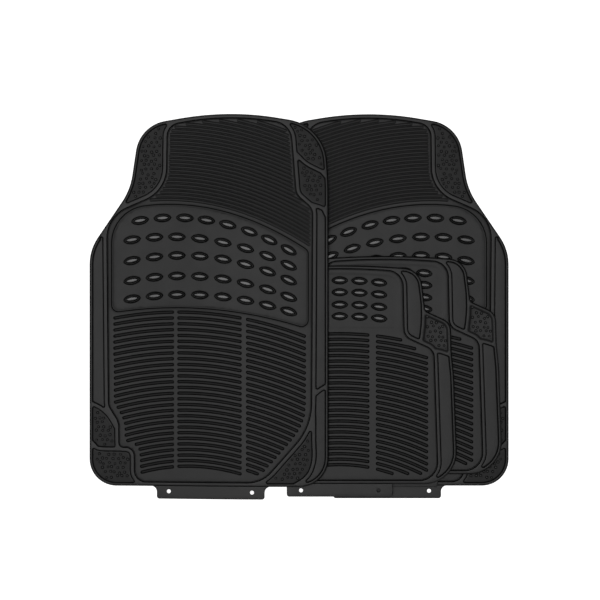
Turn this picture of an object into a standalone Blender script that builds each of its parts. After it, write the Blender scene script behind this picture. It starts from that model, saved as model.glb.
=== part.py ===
"""Universal vehicle floor mat set: two front mats and two rear mats of moulded rubber, laid overlapping.

Each mat is one moulding: a thin plate with a raised rim, a raised rail round its central tray, short
rails across its side panels, rows of grip nubs, and a thin fixing tab with two holes at its lower edge.
The mats lie in a pile, and rubber is limp, so the upper two dip where nothing holds them up.
The origin is on the ground under the middle of the set, +Y points to the toe end and +Z up.
"""

import math

import bmesh
import bpy
from mathutils import Vector

MM = 0.001
WELD = 0.00001
FLAT_ANGLE = 0.002

# Heights within one mat, in millimetres above its underside
PLATE_TOP = 3.5
RAIL_TOP = 6.0
NUB_TOP = 7.0
TAB_TOP = 3.0

# The pile: each layer is one mat's full height and the gap to the next
LAYER = NUB_TOP + 0.4

RIM_WIDTH = 6.0
FRONT_RAIL_WIDTH = 7.4
REAR_RAIL_WIDTH = 6.2
TAB_HOLE_RADIUS = 3.75
CUT_MARGIN = 2.0
ARC_STEP = math.radians(16)
SMOOTH_STEPS = 3

# Front mat. Corners are (x, y, radius) in millimetres, x from the centre line, y from the lower edge.
FRONT_OUTLINE = (
    (-222.5, 0, 50),
    (-222.5, 440, 88),
    (-146.7, 551.6, 120),
    (-129, 672, 66),
    (36.4, 700.4, 550),
    (216, 671, 84),
    (223, 560, 300),
    (223, 0, 54),
)
FRONT_TRAY = (
    (-138.5, 7.4, 22),
    (-139, 71.5, 16),
    (-167.5, 71.5, 9),
    (-168, 119, 35),
    (-187.2, 149.5, 25),
    (-190.3, 502, 62),
    (-79, 550, 64),
    (-77.6, 672.5, 26),
    (36.4, 692.3, 500),
    (152.7, 673.5, 36),
    (163.3, 542.5, 25),
    (193.8, 515.5, 25),
    (191.5, 111.6, 115),
    (99.6, 7.4, 60),
)
FRONT_CROSS_RAILS = (
    ((-228, 158), (-203, 146), (-186, 131), (-172, 108)),
    ((-228, 92), (-214, 77), (-203, 69.5), (-160, 68.5)),
    ((162, 619), (181, 600.5), (204, 588), (212, 583), (228, 563)),
    ((188, 524.5), (211, 516.7), (217, 508), (228, 486)),
    ((186, 162), (200, 174), (209, 181), (230, 194)),
    ((196.5, 136), (195.3, 93), (196, 48), (185, 20.5), (162, 4), (144, -6)),
)
FRONT_TAB_LEFT, FRONT_TAB_RIGHT, FRONT_TAB_DEPTH = -96.5, 104.5, 23.5
FRONT_TAB_HOLES = ((-74, -9.5), (81, -10.5))
# Each row of nubs lies on a wide arc: (x of its highest point, that point's y, radius)
FRONT_NUB_ARCS = (
    (-65, 499.5, 378),
    (-72, 463.8, 458),
    (-52, 429, 439),
    (-50, 391, 508),
    (-45, 356.3, 601),
)
FRONT_TOP_ROW = (-128, -86, -44, -4, 36, 76, 113, 149)
FRONT_OTHER_ROWS = (-143, -101, -59, -16, 27, 69, 110, 149)

# Rear mat: the right half of the outline and of the tray, mirrored about the centre line
REAR_OUTLINE = (
    (219.5, 0, 60),
    (212, 200, 60),
    (207.5, 245, 60),
    (206.1, 300, 24),
    (158.8, 321.5, 10),
    (149.5, 398.9, 36),
)
REAR_OUTLINE_TOP = (0, 410, 1500)
REAR_TRAY = (
    (182.8, 6.5, 34),
    (175, 249, 22),
    (119.8, 274.5, 22),
    (117.3, 394.7, 30),
)
REAR_TRAY_TOP = (0, 402.8, 1150)
REAR_CROSS_RAILS = (
    ((166, 246), (180, 247), (195, 243), (214, 236)),
    ((141, 404), (151, 370), (154.5, 322), (153.5, 290), (148, 250)),
)
REAR_TAB_HALF, REAR_TAB_DEPTH = 98.5, 23.5
REAR_TAB_HOLES = ((-72, -11.7), (72, -11.7))
REAR_NUB_HEIGHTS = (378, 356, 333, 311.5)
REAR_NUB_RADIUS = 666
REAR_NUB_ROW = (-73, -36.6, 0, 36.6, 73)

# Grip nub: an eight-sided dome, half lengths and half widths at its foot and its top
NUB_SIDES = 8
NUB_FOOT = (13.3, 5.0)
NUB_CROWN = (9.5, 2.8)
NUB_ROOT = 1.0
REAR_NUB_SCALE = 0.92

# Where each mat's centre line and lower edge lie, from the middle of the set
FRONT_X = 168.25
REAR_LEFT_PLACE = (75.5, 4.6)
REAR_RIGHT_PLACE = (159.9, 22.2)

# Where the limp mats dip, as (start, end) of each slope along x, and along y for the top mat
REAR_SLOPE = (-150.0, -55.0)
FRONT_SLOPE = (-375.0, -55.0)
TOE_SLOPE = (-240.0, -58.0)
TOE_BLEND = (84.0, 340.0)
REAR_SLOPE_CUTS = 10
FRONT_SLOPE_CUTS = 7
TOE_CUTS = 7


# ---------------------------------------------------------------- outlines


def rounded(corners):
    """The closed outline of a polygon whose corners (x, y, radius) are replaced by arcs."""
    outline = []
    for i, (x, y, radius) in enumerate(corners):
        corner = Vector((x, y))
        before = (Vector(corners[i - 1][:2]) - corner).normalized()
        after = (Vector(corners[(i + 1) % len(corners)][:2]) - corner).normalized()
        half = before.angle(after) / 2
        if radius == 0:
            outline.append((x, y))
            continue
        turn = math.pi - 2 * half
        centre = corner + (before + after).normalized() * radius / math.sin(half)
        first = corner + before * radius / math.tan(half) - centre
        sign = 1 if before.x * after.y - before.y * after.x < 0 else -1
        steps = max(1, math.ceil(turn / ARC_STEP))
        for step in range(steps + 1):
            angle = sign * turn * step / steps
            cos, sin = math.cos(angle), math.sin(angle)
            outline.append(
                (
                    centre.x + first.x * cos - first.y * sin,
                    centre.y + first.x * sin + first.y * cos,
                )
            )
    return outline


def symmetric(right_half, top):
    """The corners of an outline that mirrors right_half, with one corner on the centre line at the top."""
    left_half = [(-x, y, radius) for x, y, radius in reversed(right_half)]
    return [*right_half, top, *left_half]


def signed_area(outline):
    return sum(
        a[0] * b[1] - b[0] * a[1] for a, b in zip(outline, [*outline[1:], outline[0]])
    ) / 2


def shifted(outline, distance):
    """The outline moved outwards by distance, or inwards where it is negative."""
    outward = math.copysign(distance, distance * signed_area(outline))
    moved = []
    for i, point in enumerate(outline):
        before = (Vector(point) - Vector(outline[i - 1])).normalized()
        after = (Vector(outline[(i + 1) % len(outline)]) - Vector(point)).normalized()
        along = (before + after).normalized()
        stretch = 1 / max(0.5, along.dot(after))
        moved.append(
            (
                point[0] + along.y * outward * stretch,
                point[1] - along.x * outward * stretch,
            )
        )
    return moved


def smooth_line(points):
    """A smooth open line through the points."""
    ends = [Vector(points[0]) * 2 - Vector(points[1]), *map(Vector, points)]
    ends.append(Vector(points[-1]) * 2 - Vector(points[-2]))
    line = []
    for a, b, c, d in zip(ends, ends[1:], ends[2:], ends[3:]):
        for step in range(SMOOTH_STEPS):
            t = step / SMOOTH_STEPS
            line.append(
                0.5
                * (
                    2 * b
                    + (c - a) * t
                    + (2 * a - 5 * b + 4 * c - d) * t * t
                    + (3 * b - 3 * c + d - a) * t**3
                )
            )
    line.append(Vector(points[-1]))
    return line


def band(points, width):
    """The closed outline of a strip of that width along a smooth line through the points."""
    line = smooth_line(points)
    left, right = [], []
    for i, point in enumerate(line):
        along = (line[min(i + 1, len(line) - 1)] - line[max(i - 1, 0)]).normalized()
        side = Vector((-along.y, along.x)) * width / 2
        left.append(tuple(point + side))
        right.append(tuple(point - side))
    return left + right[::-1]


def circle(centre, radius, sides=12):
    return [
        (
            centre[0] + radius * math.cos(2 * math.pi * i / sides),
            centre[1] + radius * math.sin(2 * math.pi * i / sides),
        )
        for i in range(sides)
    ]


# ---------------------------------------------------------------- solids


def evaluated_mesh(obj):
    graph = bpy.context.evaluated_depsgraph_get()
    return bpy.data.meshes.new_from_object(obj.evaluated_get(graph))


def mesh_object(name, mesh):
    obj = bpy.data.objects.new(name, mesh)
    bpy.context.scene.collection.objects.link(obj)
    return obj


def prism(name, outline, bottom, top):
    """A flat outline in millimetres made solid between two heights."""
    curve = bpy.data.curves.new(name, "CURVE")
    curve.dimensions = "2D"
    curve.fill_mode = "BOTH"
    curve.extrude = (top - bottom) / 2 * MM
    spline = curve.splines.new("POLY")
    spline.points.add(len(outline) - 1)
    for point, (x, y) in zip(spline.points, outline):
        point.co = (x * MM, y * MM, 0, 1)
    spline.use_cyclic_u = True
    guide = mesh_object(name, curve)
    mesh = evaluated_mesh(guide)
    bpy.data.objects.remove(guide)
    solid = bmesh.new()
    solid.from_mesh(mesh)
    bmesh.ops.remove_doubles(solid, verts=solid.verts, dist=WELD)
    bmesh.ops.translate(solid, verts=solid.verts, vec=(0, 0, (bottom + top) / 2 * MM))
    bmesh.ops.recalc_face_normals(solid, faces=solid.faces)
    if solid.calc_volume(signed=True) < 0:
        bmesh.ops.reverse_faces(solid, faces=solid.faces)
    solid.to_mesh(mesh)
    solid.free()
    return mesh_object(name, mesh)


def combine(target, tool, operation):
    """Joins the tool to the target, or cuts it away, and removes the tool."""
    boolean = target.modifiers.new(operation.lower(), "BOOLEAN")
    boolean.solver = "EXACT"
    boolean.operation = operation
    boolean.object = tool
    mesh = evaluated_mesh(target)
    target.modifiers.clear()
    target.data = mesh
    bpy.data.objects.remove(tool)


def moulded_plate(outline, tray, cross_rails, rail_width, tab, holes):
    """A slab cut down to the plate wherever no rim or rail stands, with its tab and the tab's holes."""
    high = RAIL_TOP + CUT_MARGIN
    slab = prism("slab", outline, 0, RAIL_TOP)
    panels = prism("panels", shifted(outline, -RIM_WIDTH), PLATE_TOP, high)
    rail = prism(
        "rail", shifted(tray, rail_width), PLATE_TOP - CUT_MARGIN, high + CUT_MARGIN
    )
    combine(panels, rail, "DIFFERENCE")
    for points in cross_rails:
        strip = prism(
            "strip", band(points, rail_width), PLATE_TOP - CUT_MARGIN, high + CUT_MARGIN
        )
        combine(panels, strip, "DIFFERENCE")
    combine(slab, panels, "DIFFERENCE")
    combine(slab, prism("tray", tray, PLATE_TOP, high), "DIFFERENCE")
    combine(slab, prism("tab", tab, 0, TAB_TOP), "UNION")
    for centre in holes:
        hole = prism("hole", circle(centre, TAB_HOLE_RADIUS), -CUT_MARGIN, high)
        combine(slab, hole, "DIFFERENCE")
    return slab


def tab_outline(left, right, depth, root_radius):
    """A tab below the lower edge, flared into it at its roots."""
    overlap, flare, inside = 3.7, root_radius + 8, 0.3
    return rounded(
        (
            (left, -depth, 5),
            (left, inside, root_radius),
            (left - flare, inside, 0),
            (left - flare, overlap, 0),
            (right + flare, overlap, 0),
            (right + flare, inside, 0),
            (right, inside, root_radius),
            (right, -depth, 5),
        )
    )


def nub_mesh(target, centre, turn, scale):
    """Adds one grip nub to the target bmesh: a cone frustum drawn out along the row."""
    foot, crown = NUB_FOOT, NUB_CROWN
    height = NUB_TOP - PLATE_TOP + NUB_ROOT
    made = bmesh.ops.create_cone(
        target,
        cap_ends=True,
        segments=NUB_SIDES,
        radius1=1,
        radius2=1,
        depth=height * MM,
    )
    for vertex in made["verts"]:
        across, along = (foot if vertex.co.z < 0 else crown)[::-1]
        x, y = vertex.co.x * along * scale, vertex.co.y * across * scale
        cos, sin = math.cos(turn), math.sin(turn)
        vertex.co.x = (centre[0] + x * cos - y * sin) * MM
        vertex.co.y = (centre[1] + x * sin + y * cos) * MM
        vertex.co.z += (NUB_TOP - height / 2) * MM


def nubs(arcs, rows, scale, mirror):
    """All the nubs of a mat, each turned along its row's arc."""
    solid = bmesh.new()
    for (apex_x, apex_y, radius), row in zip(arcs, rows):
        for x in row:
            offset = x - apex_x
            y = apex_y - offset * offset / (2 * radius)
            turn = math.atan(-offset / radius)
            nub_mesh(solid, (x * mirror, y), turn * mirror, scale)
    mesh = bpy.data.meshes.new("nubs")
    solid.to_mesh(mesh)
    solid.free()
    return mesh_object("nubs", mesh)


# ---------------------------------------------------------------- how the mats lie


def ease(value, span):
    """0 before the span, 1 after it, and a smooth step between."""
    t = min(1, max(0, (value - span[0]) / (span[1] - span[0])))
    return t * t * (3 - 2 * t)


def rear_left_height(x, y):
    """The rear left mat lies on the layer below it, and dips to the ground past that layer's edge."""
    return 2 * LAYER * ease(x, REAR_SLOPE)


def front_left_height(x, y):
    """The front left mat runs up from the ground over two rear mats, and at its toe end over one mat."""
    over_rear = 3 * LAYER * ease(x, FRONT_SLOPE)
    over_front = LAYER * ease(x, TOE_SLOPE)
    return over_rear + (over_front - over_rear) * ease(y, TOE_BLEND)


def span_cuts(span, count):
    return [span[0] + (span[1] - span[0]) * i / count for i in range(count + 1)]


def split(obj, place, x_cuts, y_cuts):
    """Cuts the mesh along planes, so that it can bend there, and leaves triangles."""
    solid = bmesh.new()
    solid.from_mesh(obj.data)
    planes = [((x - place[0], 0), (1, 0, 0)) for x in x_cuts]
    planes += [((0, y - place[1]), (0, 1, 0)) for y in y_cuts]
    bmesh.ops.dissolve_limit(
        solid, angle_limit=FLAT_ANGLE, verts=solid.verts, edges=solid.edges
    )
    for (x, y), normal in planes:
        bmesh.ops.bisect_plane(
            solid,
            geom=[*solid.verts, *solid.edges, *solid.faces],
            plane_co=(x * MM, y * MM, 0),
            plane_no=normal,
            dist=WELD,
        )
    bmesh.ops.triangulate(solid, faces=solid.faces)
    solid.to_mesh(obj.data)
    solid.free()


def drape(obj, place, height):
    """Lifts each vertex by the height of what the mat lies on there."""
    for vertex in obj.data.vertices:
        x, y = vertex.co.x / MM + place[0], vertex.co.y / MM + place[1]
        vertex.co.z += height(x, y) * MM


# ---------------------------------------------------------------- the mats


def front_plate(mirror):
    def side(points):
        return [(point[0] * mirror, *point[1:]) for point in points]

    tab = tab_outline(FRONT_TAB_LEFT, FRONT_TAB_RIGHT, FRONT_TAB_DEPTH, 11)
    return moulded_plate(
        rounded(side(FRONT_OUTLINE)),
        rounded(side(FRONT_TRAY)),
        [side(points) for points in FRONT_CROSS_RAILS],
        FRONT_RAIL_WIDTH,
        side(tab),
        side(FRONT_TAB_HOLES),
    )


def front_nubs(mirror):
    rows = [FRONT_TOP_ROW] + [FRONT_OTHER_ROWS] * (len(FRONT_NUB_ARCS) - 1)
    return nubs(FRONT_NUB_ARCS, rows, 1, mirror)


def rear_plate():
    rails = list(REAR_CROSS_RAILS)
    rails += [[(-x, y) for x, y in points] for points in REAR_CROSS_RAILS]
    return moulded_plate(
        rounded(symmetric(REAR_OUTLINE, REAR_OUTLINE_TOP)),
        rounded(symmetric(REAR_TRAY, REAR_TRAY_TOP)),
        rails,
        REAR_RAIL_WIDTH,
        tab_outline(-REAR_TAB_HALF, REAR_TAB_HALF, REAR_TAB_DEPTH, 1.5),
        REAR_TAB_HOLES,
    )


def rear_nubs():
    arcs = [(0, height, REAR_NUB_RADIUS) for height in REAR_NUB_HEIGHTS]
    return nubs(arcs, [REAR_NUB_ROW] * len(arcs), REAR_NUB_SCALE, 1)


def rubber(name, value, roughness):
    material = bpy.data.materials.new(name)
    material.use_nodes = True
    shader = material.node_tree.nodes["Principled BSDF"]
    shader.inputs["Base Color"].default_value = (value, value, value, 1)
    shader.inputs["Roughness"].default_value = roughness
    shader.inputs["Metallic"].default_value = 0
    material.diffuse_color = (value, value, value, 1)
    return material


def finish_mat(obj, name, material, place, base, parent):
    obj.name = name
    obj.data.name = name
    obj.data.materials.clear()
    obj.data.materials.append(material)
    obj.data.shade_flat()
    obj.location = (place[0] * MM, place[1] * MM, base * MM)
    obj.parent = parent
    bpy.context.scene.collection.objects.unlink(obj)
    parent.users_collection[0].objects.link(obj)


def build():
    for obj in list(bpy.data.objects):
        bpy.data.objects.remove(obj)

    collection = bpy.data.collections.new("floor_mat_set")
    bpy.context.scene.collection.children.link(collection)
    centre = bpy.data.objects.new("mat_set", None)
    collection.objects.link(centre)

    toe_end = max(y for x, y in rounded(FRONT_OUTLINE))
    front_y = -(toe_end - FRONT_TAB_DEPTH) / 2
    rear_left = (REAR_LEFT_PLACE[0], REAR_LEFT_PLACE[1] + front_y)
    rear_right = (REAR_RIGHT_PLACE[0], REAR_RIGHT_PLACE[1] + front_y)
    front_left = (-FRONT_X, front_y)
    front_right = (FRONT_X, front_y)

    mat = front_plate(-1)
    combine(mat, front_nubs(-1), "UNION")
    finish_mat(
        mat, "front_right_mat", rubber("front_right_rubber", 0.030, 0.55),
        front_right, 0, centre,
    )

    mat = rear_plate()
    combine(mat, rear_nubs(), "UNION")
    finish_mat(
        mat, "rear_right_mat", rubber("rear_right_rubber", 0.034, 0.55),
        rear_right, LAYER, centre,
    )

    slope_cuts = span_cuts(REAR_SLOPE, REAR_SLOPE_CUTS)
    mat = rear_plate()
    split(mat, rear_left, slope_cuts, [])
    drape(mat, rear_left, rear_left_height)
    grips = rear_nubs()
    drape(grips, rear_left, rear_left_height)
    combine(mat, grips, "UNION")
    finish_mat(
        mat, "rear_left_mat", rubber("rear_left_rubber", 0.034, 0.55),
        rear_left, 0, centre,
    )

    slope_cuts += span_cuts((FRONT_SLOPE[0], REAR_SLOPE[0]), FRONT_SLOPE_CUTS)[:-1]
    mat = front_plate(1)
    split(mat, front_left, slope_cuts, span_cuts(TOE_BLEND, TOE_CUTS))
    drape(mat, front_left, front_left_height)
    grips = front_nubs(1)
    drape(grips, front_left, front_left_height)
    combine(mat, grips, "UNION")
    finish_mat(
        mat, "front_left_mat", rubber("front_left_rubber", 0.030, 0.55),
        front_left, 0, centre,
    )


build()
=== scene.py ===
"""Looks of the four-piece rubber floor mat set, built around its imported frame.

Each mat is one moulding, so each is one piece here: underside, edge, rim and rails, the ground between
them, and what is sunk into or stands on that ground. It isn't one closed skin. The tab is a shell of its
own that overlaps the lower edge. The ribs, domes and nibs are open underneath and start just below the
surface that they stand on. Flat surfaces have small gaps where Moulding.fill leaves triangles out.
Lengths are in millimetres until a mesh is made.
"""

import math
import random

import bpy
import numpy as np
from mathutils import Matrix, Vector
from mathutils.geometry import delaunay_2d_cdt


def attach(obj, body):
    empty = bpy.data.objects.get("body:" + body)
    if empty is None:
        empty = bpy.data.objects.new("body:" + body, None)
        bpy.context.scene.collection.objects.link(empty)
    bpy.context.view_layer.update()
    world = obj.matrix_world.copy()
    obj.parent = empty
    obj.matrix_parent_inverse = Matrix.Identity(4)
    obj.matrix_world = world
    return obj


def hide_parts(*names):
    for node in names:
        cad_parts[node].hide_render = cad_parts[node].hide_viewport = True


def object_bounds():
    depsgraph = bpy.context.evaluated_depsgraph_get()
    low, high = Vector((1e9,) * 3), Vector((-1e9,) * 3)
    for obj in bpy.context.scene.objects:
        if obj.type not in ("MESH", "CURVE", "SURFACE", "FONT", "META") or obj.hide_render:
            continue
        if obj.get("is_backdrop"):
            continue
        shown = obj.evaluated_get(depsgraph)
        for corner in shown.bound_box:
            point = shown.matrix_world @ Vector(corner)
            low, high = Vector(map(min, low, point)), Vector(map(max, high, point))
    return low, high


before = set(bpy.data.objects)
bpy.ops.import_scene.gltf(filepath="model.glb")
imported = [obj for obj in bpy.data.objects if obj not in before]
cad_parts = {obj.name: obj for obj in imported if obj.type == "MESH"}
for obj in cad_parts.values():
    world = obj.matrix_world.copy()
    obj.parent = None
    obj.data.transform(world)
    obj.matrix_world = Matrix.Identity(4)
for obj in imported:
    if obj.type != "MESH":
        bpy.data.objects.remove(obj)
cad_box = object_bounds()

MM = 0.001

# Heights within one mat, above the surface that it lies on
SKIN_BOTTOM = 1.2
PLATE_TOP = 3.5
RAIL_TOP = 6.0
NUB_TOP = 7.0
TAB_TOP = 3.0
LAYER = NUB_TOP + 0.4
NUB_PANEL_TOP = 2.8

RIM_WIDTH = 6.0
FRONT_RAIL_WIDTH = 7.4
REAR_RAIL_WIDTH = 6.2
PANEL_CORNER = 2.6
TAB_HOLE_RADIUS = 3.75
ARC_STEP = math.radians(7)
POINT_STEP = 9.0
GRID_STEP = 14.0
SMOOTH_STEPS = 5
GRID_MARGIN = 2
SLIVER = 0.03
WELD = 1e-5
LEAST_PANEL_AREA = 100
STEEP = 0.55
SHARP_ANGLE = math.radians(50)
# How deep the feet of ribs and nibs start inside the surface that they stand on
SUNK_IN = 0.1
# Height of a row in a triangular grid, as a share of its pitch
ROW_PITCH = 0.87

# How far slots, ribs, pebbles and nibs keep from the edge of what they lie in
SLOT_MARGIN = 13
RIB_MARGIN = 4.2
RIB_PANEL_MARGIN = 4
PEBBLE_MARGIN = 4.6
NIB_MARGIN = 9

LEAST_SLOT = 14
LEAST_RIB = 16
RIB_REACH = (-185, 192)
RIB_TAPER = 1.6
RIB_END = 0.5
RIB_SECTION = (
    (-3.2, -SUNK_IN),
    (-2.6, 0.5),
    (-1.2, 1.35),
    (0.0, 1.6),
    (1.2, 1.35),
    (2.6, 0.5),
    (3.2, -SUNK_IN),
)

PEBBLE_PITCH = 9.8
PEBBLE_STRAY = 2.0
PEBBLE_RADII = (2.5, 3.3)
PEBBLE_HEIGHT = 1.6
# Shares of a dome's radius and height, from its foot to its flattened top
DOME_SHARES = ((1.0, -0.1), (0.82, 0.55), (0.55, 0.9), (0.25, 1.0))
DOME_SIDE_RINGS = 3

NIB_PITCH = 13.0
NIB_FOOT_RADIUS = 1.9
NIB_TIP_RADIUS = 0.9
NIB_SIDES = 7

# Section profiles: (distance outwards from the outline, height)
EDGE_PROFILE = (
    (-1.1, SKIN_BOTTOM),
    (-0.3, SKIN_BOTTOM + 0.25),
    (0.0, SKIN_BOTTOM + 0.8),
    (-0.2, SKIN_BOTTOM + 1.9),
    (-0.9, RAIL_TOP - 1.6),
    (-2.0, RAIL_TOP - 0.45),
    (-3.0, RAIL_TOP),
)
PANEL_PROFILE = (
    (1.3, RAIL_TOP),
    (0.8, RAIL_TOP - 0.3),
    (0.3, RAIL_TOP - 1.0),
    (-0.6, PLATE_TOP + 0.2),
    (-1.3, PLATE_TOP - 0.3),
    (-2.1, PLATE_TOP),
)
TRAY_PROFILE = (
    (1.1, RAIL_TOP),
    (0.5, RAIL_TOP - 0.3),
    (0.0, RAIL_TOP - 1.1),
    (-0.8, PLATE_TOP - 0.4),
    (-1.3, PLATE_TOP - 0.7),
    (-1.8, PLATE_TOP - 0.55),
    (-2.7, PLATE_TOP),
)
NUB_PANEL_PROFILE = (
    (2.2, PLATE_TOP),
    (1.5, PLATE_TOP + 0.3),
    (0.7, PLATE_TOP + 0.4),
    (0.1, PLATE_TOP + 0.2),
    (-0.8, PLATE_TOP - 0.6),
    (-1.8, PLATE_TOP - 1.35),
    (-2.6, PLATE_TOP - 1.6),
    (-3.6, PLATE_TOP - 1.45),
    (-5.2, NUB_PANEL_TOP),
)
# The rear mats' pebbled panels and nub panels have low, soft edges
SOFT_PANEL_PROFILE = (
    (1.3, RAIL_TOP),
    (0.3, RAIL_TOP - 0.4),
    (-1.2, RAIL_TOP - 1.2),
    (-2.6, PLATE_TOP + 0.5),
    (-4.2, PLATE_TOP),
)
SOFT_NUB_PANEL_PROFILE = (
    (1.5, PLATE_TOP),
    (0.0, PLATE_TOP - 0.1),
    (-2.0, PLATE_TOP - 0.45),
    (-4.0, NUB_PANEL_TOP),
)
SLOT_HALF_WIDTH = 3.25
SLOT_PROFILE = (
    (0.0, PLATE_TOP),
    (-0.25, PLATE_TOP - 0.4),
    (-1.1, PLATE_TOP - 1.3),
    (-1.95, PLATE_TOP - 2.15),
)
TAB_OVERLAP = 3.7
TAB_FLARE = 8
TAB_UNDER_EDGE = 0.3
TAB_CORNER = 5
TAB_HOLE_SIDES = 24
TAB_HOLE_PROFILE = (
    (0.35, TAB_TOP),
    (0.0, TAB_TOP - 0.3),
    (0.0, SKIN_BOTTOM + 0.3),
    (0.35, SKIN_BOTTOM),
)
TAB_PROFILE = (
    (-0.6, SKIN_BOTTOM),
    (0.0, SKIN_BOTTOM + 0.4),
    (-0.1, TAB_TOP - 0.6),
    (-0.7, TAB_TOP),
)
# Half sizes of a nub at each height, from the dimple round it up to its crown
NUB_RINGS = (
    (17.0, 8.6, NUB_PANEL_TOP),
    (16.3, 7.9, NUB_PANEL_TOP - 0.3),
    (14.4, 6.0, NUB_PANEL_TOP - 1.4),
    (13.3, 5.0, NUB_PANEL_TOP - 1.25),
    (12.2, 4.2, NUB_TOP - 2.0),
    (11.6, 3.75, NUB_TOP - 0.95),
    (11.0, 3.3, NUB_TOP - 0.4),
    (10.1, 2.6, NUB_TOP - 0.1),
    (8.6, 1.2, NUB_TOP),
)
NUB_DIMPLE_RINGS = 2
NUB_SIDE_RINGS = 6
NUB_POINTEDNESS = 1.2
REAR_NUB_SCALE = 0.92

# Front mat. Corners are (x, y, radius), x from the centre line and y from the lower edge.
FRONT_OUTLINE = (
    (-222.5, 0, 50),
    (-222.5, 440, 88),
    (-146.7, 551.6, 120),
    (-129, 672, 66),
    (36.4, 700.4, 550),
    (216, 671, 84),
    (223, 560, 300),
    (223, 0, 54),
)
FRONT_TRAY = (
    (-138.5, 7.4, 22),
    (-139, 71.5, 16),
    (-167.5, 71.5, 9),
    (-168, 119, 35),
    (-187.2, 149.5, 25),
    (-190.3, 502, 62),
    (-79, 550, 64),
    (-77.6, 672.5, 26),
    (36.4, 692.3, 500),
    (152.7, 673.5, 36),
    (163.3, 542.5, 25),
    (193.8, 515.5, 25),
    (191.5, 111.6, 115),
    (99.6, 7.4, 60),
)
FRONT_CROSS_RAILS = (
    ((-228, 158), (-203, 146), (-186, 131), (-172, 108)),
    ((-228, 92), (-214, 77), (-203, 69.5), (-160, 68.5)),
    ((162, 619), (181, 600.5), (204, 588), (212, 583), (228, 563)),
    ((188, 524.5), (211, 516.7), (217, 508), (228, 486)),
    ((186, 162), (200, 174), (209, 181), (230, 194)),
    ((193.5, 165), (195.3, 128), (195.2, 90), (195.5, 50), (185, 21.5), (162, 4), (144, -6)),
)
FRONT_PEBBLED = ((-110, 640), (-198, 110), (-180, 40), (190, 640), (190, 560), (175, 60))
# The nub panel lies between two wide arcs, each read as (highest point x and y, radius)
FRONT_NUB_PANEL = {
    "bottom": (-60, 331, 760),
    "top": (-75, 525.2, 392),
    "sides": (-182, 186),
    "left_corner": (-111.5, 452.5, 70.5),
    "corner_radius": 13,
    "corner_turn": (92, 181, 8),
    "corner_gap": 4,
}
FRONT_TAB = (-96.5, 104.5, 23.5, 11)
FRONT_TAB_HOLES = ((-74, -9.5), (81, -10.5))
# Rows of nubs, slots and ribs lie on wide arcs: (x of the highest point, that point's y, radius)
FRONT_NUB_ARCS = (
    (-65, 499.5, 378),
    (-72, 463.8, 458),
    (-52, 429, 439),
    (-50, 391, 508),
    (-45, 356.3, 601),
)
FRONT_TOP_ROW = (-128, -86, -44, -4, 36, 76, 113, 149)
FRONT_OTHER_ROWS = (-143, -101, -59, -16, 27, 69, 110, 149)
FRONT_SLOTS = {
    "rows": 28,
    "first": (-57, 323.8, 620),
    "last": (-35, 37.8, 330),
    "closer": 0.0115,
    "columns": ((-176, -67), (-55, 59), (73, 178)),
}
FRONT_RIBS = {"apex": -77, "radius": 410, "spread": 7.0, "first": 533.5, "pitch": 6.75, "rows": 26}

# Rear mat: the right half of each outline, mirrored about the centre line
REAR_OUTLINE = (
    (219.5, 0, 60),
    (212, 200, 60),
    (207.5, 245, 60),
    (206.1, 300, 24),
    (158.8, 321.5, 10),
    (149.5, 398.9, 36),
)
REAR_OUTLINE_TOP = (0, 410, 1500)
REAR_TRAY = (
    (182.8, 6.5, 34),
    (175, 249, 22),
    (119.8, 274.5, 22),
    (117.3, 394.7, 30),
)
REAR_TRAY_TOP = (0, 402.8, 1150)
REAR_CROSS_RAILS = (
    ((166, 246), (180, 247), (195, 243), (214, 236)),
    ((141, 404), (151, 370), (154.5, 322), (153.5, 290), (148, 250)),
)
REAR_PEBBLED = ((183, 280), (-183, 280))
REAR_NUB_PANEL = ((110.5, 289, 12), (110, 387, 25))
REAR_NUB_PANEL_TOP = (0, 393.5, 1100)
REAR_TAB = (-98.5, 98.5, 23.5, 1.5)
REAR_TAB_HOLES = ((-72, -11.7), (72, -11.7))
REAR_NUB_ARCS = ((0, 378, 666), (0, 356, 666), (0, 333, 666), (0, 311.5, 666))
REAR_NUB_ROW = (-73, -36.6, 0, 36.6, 73)
REAR_SLOTS = {
    "rows": 25,
    "first": (0, 279, 560),
    "last": (0, 36.3, 285),
    "closer": 0.0,
    "columns": ((-161, -70), (-52, 52), (70, 161)),
}

# Where each mat's centre line and lower edge lie, from the middle of the set
FRONT_X = 168.25
REAR_LEFT_PLACE = (75.5, 4.6)
REAR_RIGHT_PLACE = (159.9, 22.2)

# Where the limp mats dip, as (start, end) of each slope along x, and along y for the top mat
REAR_SLOPE = (-150.0, -55.0)
FRONT_SLOPE = (-375.0, -55.0)
TOE_SLOPE = (-240.0, -58.0)
TOE_BLEND = (84.0, 340.0)

# Seeds of the pebbles' scatter
FRONT_SEED = 11
REAR_SEED = 23

# Brightness of the studio overhead and at eye level, and the heights (as the sine of elevation) between
# which it changes. SKY_SEEN is what the camera sees past the floor.
BRIGHT = 0.6
DIM = 0.16
FADE = (0.6, 0.93)
SKY_SEEN = 1.0
FLOOR_SIZE = 14
FLOOR_DROP = -0.0002
FLOOR_GLOW = 0.9
LAMP_ENERGY = 0.54
LAMP_ANGLE = math.radians(26)
LAMP_TILT = (math.radians(-4), math.radians(-6), 0)
CAMERA_PLACE = (0.0017, 0.0116, 3.11)
CAMERA_LENS = 100
CAMERA_SENSOR = 36

# Finishes of the moulding, as material indices. The wall, pebbled, sunk and ribbed finishes are darker rubber
# than the ground: painted shade on steep sides, on the ground among the pebbles, in the recesses and over the
# ribbed field.
GROUND, RAIL, SHADED_WALL, SHADED_PEBBLED, POLISHED, SHADED_SUNK, SHADED_RIBBED, UNDER = range(8)


# ---------------------------------------------------------------- outlines


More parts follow.
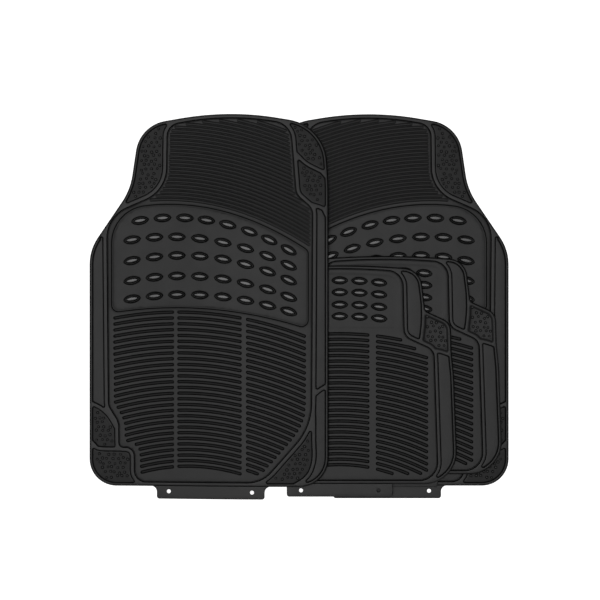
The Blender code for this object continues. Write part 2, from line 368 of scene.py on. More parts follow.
def rounded(corners):
    """The closed outline of a polygon whose corners (x, y, radius) are replaced by arcs."""
    outline = []
    for i, (x, y, radius) in enumerate(corners):
        corner = Vector((x, y))
        before = (Vector(corners[i - 1][:2]) - corner).normalized()
        after = (Vector(corners[(i + 1) % len(corners)][:2]) - corner).normalized()
        half = before.angle(after) / 2
        if radius == 0:
            outline.append((x, y))
            continue
        turn = math.pi - 2 * half
        centre = corner + (before + after).normalized() * radius / math.sin(half)
        first = corner + before * radius / math.tan(half) - centre
        sign = 1 if before.x * after.y - before.y * after.x < 0 else -1
        steps = max(1, math.ceil(max(turn / ARC_STEP, turn * radius / POINT_STEP)))
        for step in range(steps + 1):
            angle = sign * turn * step / steps
            cos, sin = math.cos(angle), math.sin(angle)
            outline.append(
                (
                    centre.x + first.x * cos - first.y * sin,
                    centre.y + first.x * sin + first.y * cos,
                )
            )
    return outline


def symmetric(right_half, top=None):
    left_half = [(-x, y, radius) for x, y, radius in reversed(right_half)]
    return [*right_half, *([top] if top else []), *left_half]


def pairs(loop):
    return zip(loop, [*loop[1:], loop[0]])


def signed_area(outline):
    return sum(a[0] * b[1] - b[0] * a[1] for a, b in pairs(outline)) / 2


def anticlockwise(outline):
    return outline if signed_area(outline) > 0 else outline[::-1]


def dense(outline):
    """The same outline with points no further apart than POINT_STEP, so that it can follow a dip."""
    points = []
    for a, b in pairs(outline):
        steps = max(1, math.ceil(math.dist(a, b) / POINT_STEP))
        points += [
            (a[0] + (b[0] - a[0]) * i / steps, a[1] + (b[1] - a[1]) * i / steps)
            for i in range(steps)
        ]
    return points


def cleaned(outline, least=0.6):
    """The outline without points that nearly coincide."""
    kept = []
    for point in outline:
        if not kept or math.dist(point, kept[-1]) > least:
            kept.append(point)
    while math.dist(kept[0], kept[-1]) <= least:
        kept.pop()
    return kept


def shifted(outline, distance, sharpest=0.5):
    """An anticlockwise outline moved outwards by distance, or inwards where it is negative."""
    moved = []
    for i, point in enumerate(outline):
        before = (Vector(point) - Vector(outline[i - 1])).normalized()
        after = (Vector(outline[(i + 1) % len(outline)]) - Vector(point)).normalized()
        along = (before + after).normalized()
        reach = distance / max(sharpest, along.dot(after))
        moved.append((point[0] + along.y * reach, point[1] - along.x * reach))
    return moved


def grown(outline, distance):
    """An anticlockwise outline moved outwards, with an arc at each corner that sticks out."""
    moved = []
    for i, point in enumerate(outline):
        before = (Vector(point) - Vector(outline[i - 1])).normalized()
        after = (Vector(outline[(i + 1) % len(outline)]) - Vector(point)).normalized()
        turn = math.atan2(before.x * after.y - before.y * after.x, before.dot(after))
        start = math.atan2(-before.x, before.y)
        steps = max(1, math.ceil(turn / math.radians(18))) if turn > 0.1 else 0
        for step in range(steps + 1):
            angle = start + (turn * step / steps if steps else turn / 2)
            moved.append(
                (
                    point[0] + math.cos(angle) * distance,
                    point[1] + math.sin(angle) * distance,
                )
            )
    return moved


def smooth_line(points):
    """A smooth open line through the points."""
    ends = [Vector(points[0]) * 2 - Vector(points[1]), *map(Vector, points)]
    ends.append(Vector(points[-1]) * 2 - Vector(points[-2]))
    line = []
    for a, b, c, d in zip(ends, ends[1:], ends[2:], ends[3:]):
        for step in range(SMOOTH_STEPS):
            t = step / SMOOTH_STEPS
            line.append(
                0.5
                * (
                    2 * b
                    + (c - a) * t
                    + (2 * a - 5 * b + 4 * c - d) * t * t
                    + (3 * b - 3 * c + d - a) * t**3
                )
            )
    line.append(Vector(points[-1]))
    return line


def band(line, half_width, round_ends=False):
    """The closed outline of a strip round a line, with half-round ends if asked."""
    left, right = [], []
    for i, point in enumerate(line):
        along = (line[min(i + 1, len(line) - 1)] - line[max(i - 1, 0)]).normalized()
        side = Vector((-along.y, along.x)) * half_width
        left.append(tuple(point + side))
        right.append(tuple(point - side))
    if not round_ends:
        return anticlockwise(left + right[::-1])

    def cap(end, inner):
        out = (end - inner).normalized()
        across = Vector((out.y, -out.x))
        return [
            tuple(end + (out * math.sin(a) + across * math.cos(a)) * half_width)
            for a in (math.pi * k / 6 for k in range(1, 6))
        ]

    # The line runs from left to right, so going anticlockwise starts along its lower side
    return right + cap(line[-1], line[-2]) + left[::-1] + cap(line[0], line[1])


def circle(centre, radius, sides):
    return [
        (
            centre[0] + radius * math.cos(2 * math.pi * i / sides),
            centre[1] + radius * math.sin(2 * math.pi * i / sides),
        )
        for i in range(sides)
    ]


def turns_round(points, loop):
    """How often the loop runs anticlockwise round each point."""
    points = np.asarray(points, float)
    start = np.asarray(loop, float)
    end = np.roll(start, -1, axis=0)
    low, high = start.min(axis=0), start.max(axis=0)
    near = np.nonzero(((points >= low) & (points <= high)).all(axis=1))[0]
    x, y = points[near, 0][:, None], points[near, 1][:, None]
    rise = end[:, 1] - start[:, 1]
    cross = start[:, 0] + (y - start[:, 1]) * (end[:, 0] - start[:, 0]) / np.where(rise == 0, 1, rise)
    spans = ((start[:, 1] > y) != (end[:, 1] > y)) & (x < cross)
    found = np.zeros(len(points), int)
    found[near] = (spans * np.sign(rise).astype(int)).sum(axis=1)
    return found


def inside(points, loops):
    """For each point, whether an odd number of the loops holds it."""
    return sum(turns_round(points, loop) for loop in loops) % 2 == 1


def triangulated(points, edges):
    made = delaunay_2d_cdt([Vector(p) for p in points], edges, [], 0, WELD, True)
    return made[0], made[2], made[3]


def region_outlines(loops, is_kept):
    """The anticlockwise outlines of the part of the plane, cut up by the loops, that is_kept chooses."""
    points, edges = [], []
    for loop in loops:
        first = len(points)
        points += loop
        edges += [(first + i, first + (i + 1) % len(loop)) for i in range(len(loop))]
    points, triangles, _ = triangulated(points, edges)
    middles = np.array([[points[i] for i in t] for t in triangles]).mean(axis=1)
    kept = {
        (a, b)
        for triangle, keep in zip(triangles, is_kept(middles))
        if keep
        for a, b in pairs(list(triangle))
    }
    next_of = {a: b for a, b in kept if (b, a) not in kept}
    outlines = []
    while next_of:
        walk = [next(iter(next_of))]
        while walk[-1] in next_of:
            walk.append(next_of.pop(walk[-1]))
        outlines.append([tuple(points[i]) for i in walk[:-1]])
    return [outline for outline in outlines if len(outline) > 2 and signed_area(outline) > LEAST_PANEL_AREA]


def panels_between(outline, blocks):
    """The outlines of what is left of an outline's inside when the blocks are taken away."""

    def is_free(middles):
        free = inside(middles, [outline])
        for block in blocks:
            free &= ~inside(middles, [block])
        return free

    return region_outlines([outline, *blocks], is_free)


def distance_to(points, loop):
    """How far each point is from the nearest edge of the loop."""
    start = np.asarray(loop, float)
    along = np.roll(start, -1, axis=0) - start
    away = np.asarray(points, float)[:, None] - start
    share = (away * along).sum(axis=2) / (along * along).sum(axis=1)
    nearest = away - np.clip(share, 0, 1)[:, :, None] * along
    return np.hypot(nearest[:, :, 0], nearest[:, :, 1]).min(axis=1)


def softened(outline, radius):
    """The outline with no corner sharper than the radius, and nothing narrower than twice that."""
    inner = shifted(outline, -radius, sharpest=0.2)

    def is_deep(middles):
        return (turns_round(middles, inner) > 0) & (
            distance_to(middles, outline) > 0.97 * radius
        )

    shrunk = max(region_outlines([inner], is_deep), key=signed_area)
    outer = grown(cleaned(shrunk, 0.3), radius)
    found = region_outlines([outer], lambda middles: turns_round(middles, outer) > 0)
    return cleaned(max(found, key=signed_area))


# ---------------------------------------------------------------- one moulding


class Moulding:
    """The skin of one mat: points, faces and each face's finish, in the mat's own millimetres."""

    def __init__(self):
        self.points = []
        self.faces = []
        self.finishes = []

    def ring(self, outline, height):
        first = len(self.points)
        self.points += [(x, y, height) for x, y in outline]
        return list(range(first, len(self.points)))

    def face(self, corners, finish):
        self.faces.append(tuple(corners))
        self.finishes.append(finish)

    def wall(self, rings, finish):
        """Quads between rings of equal length, facing right of the way that they run."""
        for low, high in zip(rings, rings[1:]):
            for (a, b), (d, c) in zip(pairs(low), pairs(high)):
                self.face((a, b, c, d), finish)

    def profile(self, outline, profile, finish, steep_shade_finish=SHADED_WALL):
        """Walls along an anticlockwise outline, whose steep steps take a darker finish that is painted shade.
        It returns the first ring and the last.
        """
        rings = [self.ring(shifted(outline, out), z) for out, z in profile]
        for k, ((near, low), (far, high)) in enumerate(zip(profile, profile[1:])):
            is_steep = abs(high - low) > STEEP * abs(far - near)
            self.wall(rings[k : k + 2], steep_shade_finish if is_steep else finish)
        return rings[0], rings[-1]

    def fill(self, loops, height, finish, up=True, step=GRID_STEP):
        """Triangles between an outer ring and the holes in it, with a grid of points that lets it bend."""
        flat = [[self.points[i][:2] for i in loop] for loop in loops]
        given = [i for loop in loops for i in loop]
        edges, first = [], 0
        for loop in loops:
            count = len(loop)
            edges += [(first + i, first + (i + 1) % count) for i in range(count)]
            first += count
        low, high = np.min(flat[0], axis=0), np.max(flat[0], axis=0)
        grid = [
            (x, y)
            for x in np.arange(low[0] + step / 2, high[0], step)
            for y in np.arange(low[1] + step / 2, high[1], step)
        ]
        if grid:
            clear = inside(grid, flat)
            for dx, dy in ((1, 0), (-1, 0), (0, 1), (0, -1)):
                clear &= inside(np.array(grid) + (dx * GRID_MARGIN, dy * GRID_MARGIN), flat)
            grid = [point for point, is_clear in zip(grid, clear) if is_clear]
        given += self.ring(grid, height)
        points, triangles, origins = triangulated(
            [self.points[i][:2] for i in given], edges
        )
        spots = np.array([[points[i] for i in t] for t in triangles])
        (ax, ay), (bx, by) = (spots[:, 1] - spots[:, 0]).T, (spots[:, 2] - spots[:, 0]).T
        kept = inside(spots.mean(axis=1), flat) & (ax * by - ay * bx > SLIVER)
        for triangle, is_kept in zip(triangles, kept):
            if is_kept:
                # Where two edges cross, the triangulation adds a point that belongs to no ring. Triangles
                # at such a point are left out, which leaves a small gap in the surface.
                if any(not origins[i] for i in triangle):
                    continue
                corners = [given[origins[i][0]] for i in triangle]
                self.face(corners if up else corners[::-1], finish)

    def object(self, name, place, height, mirror, materials):
        """The mesh object, lying on whatever is under the mat."""
        points = np.array(self.points)
        points[:, 0] = points[:, 0] * mirror + place[0]
        points[:, 1] += place[1]
        points[:, 2] += [height(x, y) for x, y in points[:, :2]]
        faces = self.faces if mirror > 0 else [face[::-1] for face in self.faces]
        mesh = bpy.data.meshes.new(name)
        mesh.from_pydata((points * MM).tolist(), [], faces)
        for material in materials:
            mesh.materials.append(material)
        mesh.polygons.foreach_set("material_index", self.finishes)
        mesh.update()
        mesh.shade_smooth()
        mesh.set_sharp_from_angle(angle=SHARP_ANGLE)
        obj = bpy.data.objects.new(name, mesh)
        bpy.context.scene.collection.objects.link(obj)
        weighted = obj.modifiers.new("even_shading", "WEIGHTED_NORMAL")
        weighted.keep_sharp = True
        return obj


# ---------------------------------------------------------------- details


def arc_line(apex, x_from, x_to, step=POINT_STEP):
    """Points along a wide arc, read as a parabola: apex is (x, y, radius)."""
    count = max(2, math.ceil((x_to - x_from) / step))
    xs = [x_from + (x_to - x_from) * i / count for i in range(count + 1)]
    return [Vector((x, apex[1] - (x - apex[0]) ** 2 / (2 * apex[2]))) for x in xs]


def clipped(line, loops, least):
    """The longest stretch of a finely divided line that lies inside, or nothing if it is too short."""
    flags = inside([tuple(p) for p in line], loops)
    best, start = [], None
    for i, flag in enumerate([*flags, False]):
        if flag and start is None:
            start = i
        if not flag and start is not None:
            if i - start > len(best):
                best = line[start:i]
            start = None
    if len(best) < 2 or (best[-1] - best[0]).length < least:
        return []
    return best


def thinned(line, step=POINT_STEP):
    count = max(2, round((line[-1] - line[0]).length / step))
    return [line[round(i * (len(line) - 1) / count)] for i in range(count + 1)]


def slot_lines(spec, room):
    """The centre lines of a field of slots, each cut off where the room for it ends."""
    (x0, y0, r0), (x1, y1, r1) = spec["first"], spec["last"]
    last = spec["rows"] - 1
    for row in range(spec["rows"]):
        t = row / last
        y = y0 + (y1 - y0) * t - spec["closer"] * row * (last - row)
        apex = (x0 + (x1 - x0) * t, y, r0 + (r1 - r0) * t)
        for x_from, x_to in spec["columns"]:
            line = clipped(arc_line(apex, x_from, x_to, 1.0), [room], LEAST_SLOT)
            if line:
                yield thinned(line)


def add_slots(mould, spec, room):
    """Sunk slots, with darker walls and floors that are painted shade. It returns the rings of their mouths,
    which are holes in the ground.
    """
    mouths = []
    for line in slot_lines(spec, room):
        rings = [
            mould.ring(band(line, SLOT_HALF_WIDTH + out, round_ends=True), z)
            for out, z in SLOT_PROFILE
        ]
        mould.wall(rings, SHADED_WALL)
        mould.fill([rings[-1]], SLOT_PROFILE[-1][1], SHADED_SUNK)
        mouths.append(rings[0])
    return mouths


def add_ribs(mould, spec, room, panel):
    """The fine curved ribs of the toe field: low rounded bars that run out at both ends."""
    for row in range(spec["rows"]):
        radius = spec["radius"] + spec["spread"] * row
        apex = (spec["apex"], spec["first"] + row * spec["pitch"], radius)
        line = clipped(arc_line(apex, *RIB_REACH, 1.0), [room, panel], LEAST_RIB)
        if not line:
            continue
        line = thinned(line)
        line[1:1] = [line[0].lerp(line[1], RIB_TAPER / (line[1] - line[0]).length)]
        line[-1:-1] = [line[-1].lerp(line[-2], RIB_TAPER / (line[-2] - line[-1]).length)]
        rows = []
        for i, point in enumerate(line):
            along = (line[min(i + 1, len(line) - 1)] - line[max(i - 1, 0)]).normalized()
            side = Vector((-along.y, along.x))
            size = RIB_END if i in (0, len(line) - 1) else 1
            first = len(mould.points)
            for across, up in RIB_SECTION:
                x, y = point + side * across * size
                mould.points.append((x, y, PLATE_TOP + min(up, up * size)))
            rows.append(range(first, first + len(RIB_SECTION)))
        # Crests take the darker ribbed finish and flanks the darker wall finish: painted shade over the rib
        # field.
        for a, b in zip(rows, rows[1:]):
            for k in range(len(RIB_SECTION) - 1):
                is_crest = 0 < k < len(RIB_SECTION) - 2
                mould.face((a[k], b[k], b[k + 1], a[k + 1]), SHADED_RIBBED if is_crest else SHADED_WALL)
        mould.face(list(rows[0]), SHADED_RIBBED)
        mould.face(list(rows[-1])[::-1], SHADED_RIBBED)


def leaf(half_length, half_width, sides=30):
    """A pointed oval, as (x, y) from its middle."""
    points = []
    for i in range(sides):
        angle = 2 * math.pi * i / sides
        y = math.copysign(abs(math.sin(angle)) ** NUB_POINTEDNESS, math.sin(angle))
        points.append((math.cos(angle) * half_length, y * half_width))
    return points


def add_nub(mould, centre, turn, scale):
    """One grip nub in its dimple: steep sides up to a narrow, glossy, rounded crown. It returns its mouth."""
    cos, sin = math.cos(turn), math.sin(turn)
    rings = []
    for half_length, half_width, z in NUB_RINGS:
        outline = [
            (
                centre[0] + (x * cos - y * sin) * scale,
                centre[1] + (x * sin + y * cos) * scale,
            )
            for x, y in leaf(half_length, half_width)
        ]
        rings.append(mould.ring(outline, z))
    # The dimple round the nub takes the darker sunk finish, painted shade.
    mould.wall(rings[:NUB_DIMPLE_RINGS], SHADED_SUNK)
    # The nub's steep sides take the darker wall finish, painted shade.
    mould.wall(rings[NUB_DIMPLE_RINGS - 1 : NUB_SIDE_RINGS], SHADED_WALL)
    mould.wall(rings[NUB_SIDE_RINGS - 1 :], POLISHED)
    mould.face(rings[-1], POLISHED)
    return rings[0]


def add_nubs(mould, arcs, rows, scale):
    """The rows of nubs. It returns their mouths, which are holes in the nub panel."""
    mouths = []
    for (apex_x, apex_y, radius), row in zip(arcs, rows):
        for x in row:
            offset = x - apex_x
            y = apex_y - offset * offset / (2 * radius)
            mouths.append(add_nub(mould, (x, y), math.atan(-offset / radius), scale))
    return mouths


def add_dome(mould, centre, radius, height, base, sides=9):
    """A small dome with a flattened top."""
    rings = [
        mould.ring(circle(centre, radius * share, sides), base + height * up)
        for share, up in DOME_SHARES
    ]
    # The dome's sides take the darker wall finish, painted shade.
    mould.wall(rings[:DOME_SIDE_RINGS], SHADED_WALL)
    mould.wall(rings[DOME_SIDE_RINGS - 1 :], RAIL)
    mould.face(rings[-1], RAIL)


def add_pebbles(mould, panel, luck):
    """Small domes scattered over a panel, on a loosened triangular grid."""
    room = shifted(panel, -PEBBLE_MARGIN)
    step = PEBBLE_PITCH
    low, high = np.min(room, axis=0), np.max(room, axis=0)
    row, y = 0, low[1] + 1
    while y < high[1]:
        x = low[0] + (step / 2 if row % 2 else 0) + 1
        while x < high[0]:
            centre = (
                x + luck.uniform(-PEBBLE_STRAY, PEBBLE_STRAY),
                y + luck.uniform(-PEBBLE_STRAY, PEBBLE_STRAY),
            )
            if inside([centre], [room])[0]:
                size = luck.uniform(*PEBBLE_RADII)
                add_dome(mould, centre, size, PEBBLE_HEIGHT, PLATE_TOP)
            x += step
        y += step * ROW_PITCH
        row += 1


def add_underside(mould, bottom_ring, outline):
    """The underside, and the small nibs under it that keep the mat from sliding."""
    mould.fill([bottom_ring[::-1]], SKIN_BOTTOM, UNDER, up=False)
    room = shifted(outline, -NIB_MARGIN)
    pitch = NIB_PITCH
    low, high = np.min(room, axis=0), np.max(room, axis=0)
    rows = np.arange(low[1], high[1], pitch * ROW_PITCH)
    centres = [
        (x, y)
        for k, y in enumerate(rows)
        for x in np.arange(low[0] + pitch / 2 * (k % 2), high[0], pitch)
    ]
    for centre in np.array(centres)[inside(centres, [room])]:
        foot = mould.ring(circle(centre, NIB_FOOT_RADIUS, NIB_SIDES), SKIN_BOTTOM + SUNK_IN)
        tip = mould.ring(circle(centre, NIB_TIP_RADIUS, NIB_SIDES), 0.0)
        mould.wall([tip, foot], UNDER)
        mould.face(tip[::-1], UNDER)


def add_tab(mould, tab, holes):
    """The thin fixing tab, flared into the mat's lower edge, with its two round holes."""
    left, right, depth, root = tab
    overlap, flare, under_edge = TAB_OVERLAP, root + TAB_FLARE, TAB_UNDER_EDGE
    outline = anticlockwise(
        dense(
            rounded(
                (
                    (left, -depth, TAB_CORNER),
                    (left, under_edge, root),
                    (left - flare, under_edge, 0),
                    (left - flare, overlap, 0),
                    (right + flare, overlap, 0),
                    (right + flare, under_edge, 0),
                    (right, under_edge, root),
                    (right, -depth, TAB_CORNER),
                )
            )
        )
    )
    bottom, top = mould.profile(outline, TAB_PROFILE, RAIL)
    top_holes, bottom_holes = [], []
    for centre in holes:
        rings = [
            mould.ring(circle(centre, TAB_HOLE_RADIUS + out, TAB_HOLE_SIDES), z)
            for out, z in TAB_HOLE_PROFILE
        ]
        mould.wall(rings, RAIL)
        top_holes.append(rings[0])
        bottom_holes.append(rings[-1])
    mould.fill([top, *top_holes], TAB_TOP, RAIL)
    mould.fill([bottom, *bottom_holes], SKIN_BOTTOM, UNDER, up=False)


def moulding(outline, tray, cross_rails, rail_width, soft, pebbled, nub_panel, nubs, slots, ribs, seed):
    """A mat's skin, without its tab. nubs is (arcs, rows, scale), and soft mats have gentler panel edges."""
    luck = random.Random(seed)
    mould = Moulding()
    outline = dense(anticlockwise(rounded(outline)))
    tray = dense(anticlockwise(rounded(tray)))
    nub_panel = dense(nub_panel)
    strips = [band(smooth_line(points), rail_width / 2) for points in cross_rails]
    blocks = [shifted(tray, rail_width), *strips]
    panels = [
        dense(softened(cleaned(panel), PANEL_CORNER))
        for panel in panels_between(shifted(outline, -RIM_WIDTH), blocks)
    ]

    bottom, edge_top = mould.profile(outline, EDGE_PROFILE, RAIL)
    add_underside(mould, bottom, outline)

    tray_top, tray_foot = mould.profile(tray, TRAY_PROFILE, RAIL)
    openings = [tray_top]
    for panel in panels:
        has_pebbles = inside(pebbled, [panel]).any()
        is_soft = soft and has_pebbles
        profile = SOFT_PANEL_PROFILE if is_soft else PANEL_PROFILE
        # Steep edges of these panels take the darker sunk finish, painted shade.
        top, foot = mould.profile(panel, profile, RAIL, SHADED_SUNK)
        openings.append(top)
        # Pebbled panels take a darker ground, painted shade among the pebbles.
        mould.fill([foot], PLATE_TOP, SHADED_PEBBLED if has_pebbles else GROUND)
        if has_pebbles:
            add_pebbles(mould, panel, luck)
    mould.fill([edge_top, *openings], RAIL_TOP, RAIL)

    edge = SOFT_NUB_PANEL_PROFILE if soft else NUB_PANEL_PROFILE
    panel_rim, panel_foot = mould.profile(nub_panel, edge, GROUND)
    mould.fill([panel_foot, *add_nubs(mould, *nubs)], NUB_PANEL_TOP, GROUND)
    mouths = add_slots(mould, slots, shifted(tray, -SLOT_MARGIN))
    mould.fill([tray_foot, panel_rim, *mouths], PLATE_TOP, GROUND)
    if ribs:
        add_ribs(mould, ribs, shifted(tray, -RIB_MARGIN), shifted(nub_panel, RIB_PANEL_MARGIN))
    return mould


def front_nub_panel():
    """The dished panel of the front mat, between its two arcs, with its wide corner at the top left."""
    spec = FRONT_NUB_PANEL
    left, right = spec["sides"]
    x, y, radius = spec["left_corner"]
    bottom = arc_line(spec["bottom"], left, right)
    top = arc_line(spec["top"], x + spec["corner_gap"], right)
    quarter = [math.radians(angle) for angle in range(*spec["corner_turn"])]
    corner = [(x + radius * math.cos(turn), y + radius * math.sin(turn)) for turn in quarter]
    loop = [*map(tuple, bottom), *map(tuple, top[::-1]), *corner]
    return softened(loop, spec["corner_radius"])


# ---------------------------------------------------------------- how the mats lie


def ease(value, span):
    """0 before the span, 1 after it, and a smooth step between."""
    t = min(1, max(0, (value - span[0]) / (span[1] - span[0])))
    return t * t * (3 - 2 * t)


def ground_height(x, y):
    return 0.0


def rear_right_height(x, y):
    return LAYER


def rear_left_height(x, y):
    return 2 * LAYER * ease(x, REAR_SLOPE)


def front_left_height(x, y):
    over_rear = 3 * LAYER * ease(x, FRONT_SLOPE)
    over_front = LAYER * ease(x, TOE_SLOPE)
    return over_rear + (over_front - over_rear) * ease(y, TOE_BLEND)


# ---------------------------------------------------------------- materials


def link(tree, source, output, target, socket):
    tree.links.new(source.outputs[output], target.inputs[socket])


def rubber(name, dark, light, gloss, roughness, grain_size, grain_depth, unevenness=0.0):
    """Moulded black rubber: a mottled colour, uneven sheen and a fine moulded grain."""
    material = bpy.data.materials.new(name)
    material.use_nodes = True
    tree = material.node_tree
    shader = tree.nodes["Principled BSDF"]
    shader.inputs["IOR"].default_value = 1.5
    shader.inputs["Specular IOR Level"].default_value = gloss
    place = tree.nodes.new("ShaderNodeTexCoord")

    mottle = tree.nodes.new("ShaderNodeTexNoise")
    mottle.inputs["Scale"].default_value = 38
    mottle.inputs["Detail"].default_value = 6
    mottle.inputs["Roughness"].default_value = 0.6
    link(tree, place, "Object", mottle, "Vector")
    colour = tree.nodes.new("ShaderNodeValToRGB")
    colour.color_ramp.elements[0].position = 0.3
    colour.color_ramp.elements[0].color = (*dark, 1)
    colour.color_ramp.elements[1].position = 0.75
    colour.color_ramp.elements[1].color = (*light, 1)
    link(tree, mottle, "Fac", colour, "Fac")
    link(tree, colour, "Color", shader, "Base Color")

    sheen = tree.nodes.new("ShaderNodeMapRange")
    sheen.inputs["To Min"].default_value = roughness - 0.05
    sheen.inputs["To Max"].default_value = roughness + 0.06
    link(tree, mottle, "Fac", sheen, "Value")
    link(tree, sheen, "Result", shader, "Roughness")

    grain = tree.nodes.new("ShaderNodeTexNoise")
    grain.inputs["Scale"].default_value = 1 / (grain_size * MM)
    grain.inputs["Detail"].default_value = 3
    grain.inputs["Roughness"].default_value = 0.55
    link(tree, place, "Object", grain, "Vector")
    bump = tree.nodes.new("ShaderNodeBump")
    bump.inputs["Strength"].default_value = 1
    bump.inputs["Distance"].default_value = grain_depth * MM
    link(tree, grain, "Fac", bump, "Height")
    if unevenness:
        swell = tree.nodes.new("ShaderNodeTexNoise")
        swell.inputs["Scale"].default_value = 11
        swell.inputs["Detail"].default_value = 2
        link(tree, place, "Object", swell, "Vector")
        wave = tree.nodes.new("ShaderNodeBump")
        wave.inputs["Strength"].default_value = 1
        wave.inputs["Distance"].default_value = unevenness * MM
        link(tree, swell, "Fac", wave, "Height")
        link(tree, wave, "Normal", bump, "Normal")
    link(tree, bump, "Normal", shader, "Normal")
    return material


def grey(value, tint=1.02):
    return (value, value, value * tint)


def finishes(kind, pebble_gloss):
    """The finishes of a mat's moulding, in the order of their indices. Those for walls, pebbled ground, sunk
    places and ribs are darker rubber, which is painted shade.
    """
    return [
        rubber(f"{kind}_ground", grey(0.006), grey(0.010), 0.47, 0.5, 0.9, 0.04, 0.4),
        rubber(f"{kind}_rail", grey(0.006), grey(0.010), 0.43, 0.45, 0.8, 0.03),
        # Painted shade: steep sides are darker and less glossy than the ground.
        rubber(f"{kind}_wall", grey(0.002), grey(0.003), 0.18, 0.3, 0.8, 0.02),
        # Painted shade: the ground among the pebbles is darker than the plain ground.
        rubber(f"{kind}_pebbled", grey(0.004), grey(0.007), pebble_gloss, 0.52, 0.7, 0.08),
        rubber(f"{kind}_polished", grey(0.006), grey(0.010), 0.55, 0.2, 0.6, 0.008),
        # Painted shade: recesses are darker and less glossy than the ground.
        rubber(f"{kind}_sunk", grey(0.003), grey(0.005), 0.24, 0.5, 0.8, 0.05),
        # Painted shade: the ribbed field is darker than the ground.
        rubber(f"{kind}_shaded_ribbed", grey(0.004), grey(0.007), 0.36, 0.45, 0.8, 0.04),
        rubber(f"{kind}_underside", grey(0.010), grey(0.016), 0.5, 0.62, 0.9, 0.06),
    ]


# ---------------------------------------------------------------- the mats


def front_moulding(seed):
    rows = [FRONT_TOP_ROW] + [FRONT_OTHER_ROWS] * (len(FRONT_NUB_ARCS) - 1)
    mould = moulding(
        FRONT_OUTLINE, FRONT_TRAY, FRONT_CROSS_RAILS, FRONT_RAIL_WIDTH, False,
        FRONT_PEBBLED, front_nub_panel(),
        (FRONT_NUB_ARCS, rows, 1.0), FRONT_SLOTS, FRONT_RIBS, seed,
    )
    add_tab(mould, FRONT_TAB, FRONT_TAB_HOLES)
    return mould


def rear_moulding(seed):
    rails = list(REAR_CROSS_RAILS)
    rails += [[(-x, y) for x, y in points] for points in REAR_CROSS_RAILS]
    panel = anticlockwise(rounded(symmetric(REAR_NUB_PANEL, REAR_NUB_PANEL_TOP)))
    mould = moulding(
        symmetric(REAR_OUTLINE, REAR_OUTLINE_TOP), symmetric(REAR_TRAY, REAR_TRAY_TOP),
        rails, REAR_RAIL_WIDTH, True, REAR_PEBBLED, panel,
        (REAR_NUB_ARCS, [REAR_NUB_ROW] * len(REAR_NUB_ARCS), REAR_NUB_SCALE), REAR_SLOTS, None, seed,
    )
    add_tab(mould, REAR_TAB, REAR_TAB_HOLES)
    return mould


def make_mats():
    toe_end = max(y for x, y in rounded(FRONT_OUTLINE))
    front_y = -(toe_end - FRONT_TAB[2]) / 2
    rear_left = (REAR_LEFT_PLACE[0], REAR_LEFT_PLACE[1] + front_y)
    rear_right = (REAR_RIGHT_PLACE[0], REAR_RIGHT_PLACE[1] + front_y)
    front_finish, rear_finish = finishes("front", 0.34), finishes("rear", 0.46)
    front, rear = front_moulding(FRONT_SEED), rear_moulding(REAR_SEED)
    mats = (
        ("front_right", front, (FRONT_X, front_y), ground_height, -1, front_finish),
        ("rear_right", rear, rear_right, rear_right_height, 1, rear_finish),
        ("rear_left", rear, rear_left, rear_left_height, 1, rear_finish),
        ("front_left", front, (-FRONT_X, front_y), front_left_height, 1, front_finish),
    )
    for body, mould, place, height, mirror, finish in mats:
        piece = mould.object(f"{body}_rubber", place, height, mirror, finish)
        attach(piece, body)
        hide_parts(f"{body}_mat")


# ---------------------------------------------------------------- stage, light and camera


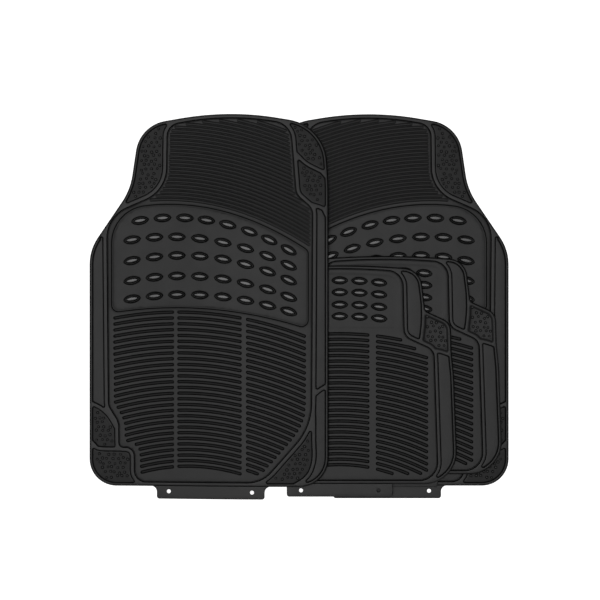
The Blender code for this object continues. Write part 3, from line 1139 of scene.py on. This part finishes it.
def make_floor():
    bpy.ops.mesh.primitive_plane_add(size=FLOOR_SIZE, location=(0, 0, FLOOR_DROP))
    floor = bpy.context.object
    floor.name = "floor"
    material = bpy.data.materials.new("pale_floor")
    material.use_nodes = True
    shader = material.node_tree.nodes["Principled BSDF"]
    shader.inputs["Base Color"].default_value = (0.9, 0.9, 0.9, 1)
    shader.inputs["Roughness"].default_value = 0.8
    shader.inputs["Specular IOR Level"].default_value = 0.1
    shader.inputs["Emission Color"].default_value = (1, 1, 1, 1)
    tree = material.node_tree
    path = tree.nodes.new("ShaderNodeLightPath")
    glow = tree.nodes.new("ShaderNodeMath")
    glow.operation = "MULTIPLY"
    glow.inputs[1].default_value = FLOOR_GLOW
    link(tree, path, "Is Camera Ray", glow, 0)
    link(tree, glow, "Value", shader, "Emission Strength")
    floor.data.materials.append(material)
    floor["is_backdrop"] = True


def make_world():
    """A studio that is bright overhead and dim at eye level, pale where the camera sees past the floor."""
    world = bpy.data.worlds.new("studio")
    bpy.context.scene.world = world
    world.use_nodes = True
    tree = world.node_tree
    background = tree.nodes["Background"]
    background.inputs["Color"].default_value = (1, 1, 1, 1)
    way = tree.nodes.new("ShaderNodeTexCoord")
    parts = tree.nodes.new("ShaderNodeSeparateXYZ")
    link(tree, way, "Generated", parts, "Vector")
    fade = tree.nodes.new("ShaderNodeMapRange")
    fade.interpolation_type = "SMOOTHSTEP"
    fade.inputs["From Min"].default_value = FADE[0]
    fade.inputs["From Max"].default_value = FADE[1]
    fade.inputs["To Min"].default_value = DIM
    fade.inputs["To Max"].default_value = BRIGHT
    link(tree, parts, "Z", fade, "Value")
    path = tree.nodes.new("ShaderNodeLightPath")
    seen = tree.nodes.new("ShaderNodeMix")
    seen.data_type = "FLOAT"
    seen.inputs["B"].default_value = SKY_SEEN
    link(tree, path, "Is Camera Ray", seen, "Factor")
    link(tree, fade, "Result", seen, "A")
    link(tree, seen, "Result", background, "Strength")


def make_lights():
    """One broad lamp nearly overhead, a little towards the far left, in a studio that is bright above."""
    data = bpy.data.lights.new("overhead_lamp", "SUN")
    data.energy = LAMP_ENERGY
    data.angle = LAMP_ANGLE
    lamp = bpy.data.objects.new("overhead_lamp", data)
    lamp.rotation_euler = LAMP_TILT
    bpy.context.scene.collection.objects.link(lamp)
    make_world()
    bpy.context.scene.view_settings.view_transform = "Standard"


def make_camera():
    """Straight down over the pile, with the toe end up."""
    data = bpy.data.cameras.new("camera")
    data.lens = CAMERA_LENS
    data.sensor_width = CAMERA_SENSOR
    camera = bpy.data.objects.new("camera", data)
    camera.location = CAMERA_PLACE
    bpy.context.scene.collection.objects.link(camera)
    bpy.context.scene.camera = camera


make_camera()
make_mats()
make_floor()
make_lights()

model_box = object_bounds()
[[list(corner) for corner in box] for box in (cad_box, model_box)]
